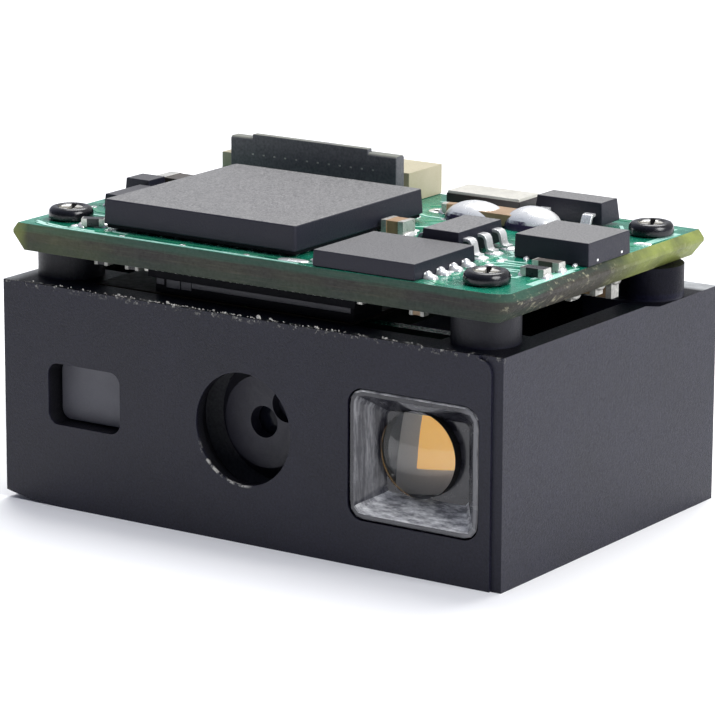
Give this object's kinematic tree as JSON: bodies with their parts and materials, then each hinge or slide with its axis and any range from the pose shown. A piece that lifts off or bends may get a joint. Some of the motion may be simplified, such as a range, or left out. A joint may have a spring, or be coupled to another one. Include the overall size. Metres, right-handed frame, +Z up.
{
  "type": "barcode imager scan engine module",
  "caption": "Compact imaging scan engine: a black chassis with aimer, camera and lamp windows under a green circuit board with a flip-lock cable connector.",
  "frame": {"origin": "centre of the underside of the chassis", "axes": "+Z up from the underside to the circuit board; -Y out of the front face, the way the lens looks; +X to the right seen from the front"},
  "size_m": [0.0216, 0.0148, 0.0124],
  "materials": {
    "chassis_black": "fine matte moulded texture with light flash along the edges",
    "barrel_black": "matte black anodised",
    "black_plastic": "satin moulded",
    "frosted_plastic": "frosted translucent",
    "clear_plastic": "clear moulded, polished lens with a soft frame",
    "lens_glass": "coated and polished",
    "sensor_glass": "cover glass over silicon",
    "board_green": "glossy solder mask over laminate with raw brown edges",
    "flex_amber": "satin polyimide film",
    "ceramic_white": "fired ceramic",
    "phosphor_yellow": "matt cast phosphor",
    "moulding_grey": "fine matte moulding compound",
    "soldered_metal": "shiny solder over a ceramic body",
    "metal_lid": "satin plated lid over a dark ceramic base",
    "screw_black": "black finish worn bright in the recess",
    "ivory_plastic": "satin heat resistant moulding"
  },
  "bodies": {
    "engine_body": {"aimer_led": "ceramic_white", "aimer_lens": "frosted_plastic", "board_screw_front_left": "screw_black", "board_screw_front_right": "screw_black", "board_screw_rear_right": "screw_black", "board_socket": "black_plastic", "bulk_capacitor": "soldered_metal", "cable_socket": "ivory_plastic", "chassis": "chassis_black", "chip_before_power_a": "soldered_metal", "chip_before_power_b": "soldered_metal", "chip_behind_processor": "soldered_metal", "chip_by_front_left_screw": "soldered_metal", "chip_rear_left": "soldered_metal", "chip_right_of_processor": "soldered_metal", "crystal": "metal_lid", "flash_memory": "moulding_grey", "flex_plug": "black_plastic", "illumination_led": "ceramic_white", "illumination_lens": "clear_plastic", "image_sensor": "sensor_glass", "infrared_filter": "lens_glass", "interface_chip": "moulding_grey", "led_board": "board_green", "led_phosphor": "phosphor_yellow", "lens_holder": "black_plastic", "main_board": "board_green", "power_controller": "moulding_grey", "processor": "moulding_grey", "rear_left_diode": "moulding_grey", "sensor_board": "board_green", "sensor_flex": "flex_amber", "transistor": "moulding_grey", "under_chip_front_right": "soldered_metal", "under_chip_left_a": "soldered_metal", "under_chip_left_b": "soldered_metal", "under_chip_right_a": "soldered_metal", "under_chip_right_b": "soldered_metal", "under_chip_right_c": "soldered_metal", "voltage_regulator": "moulding_grey"},
    "focus_barrel": {"lens_barrel": "barrel_black", "front_lens": "lens_glass", "rear_lens": "lens_glass", "lens_retainer": "black_plastic"},
    "cable_lock": {"cable_latch": "black_plastic"}
  },
  "joints": [
    {"name": "focus_turn", "type": "hinge", "parent": "engine_body", "child": "focus_barrel", "pos_m": [0, -0.00438, 0.0042], "axis": [0, 1, 0], "range_deg": [-180, 180]},
    {"name": "latch_flip", "type": "hinge", "parent": "engine_body", "child": "cable_lock", "pos_m": [-0.00448, 0.00364, 0.01086], "axis": [1, 0, 0], "range_deg": [0, 90]}
  ]
}
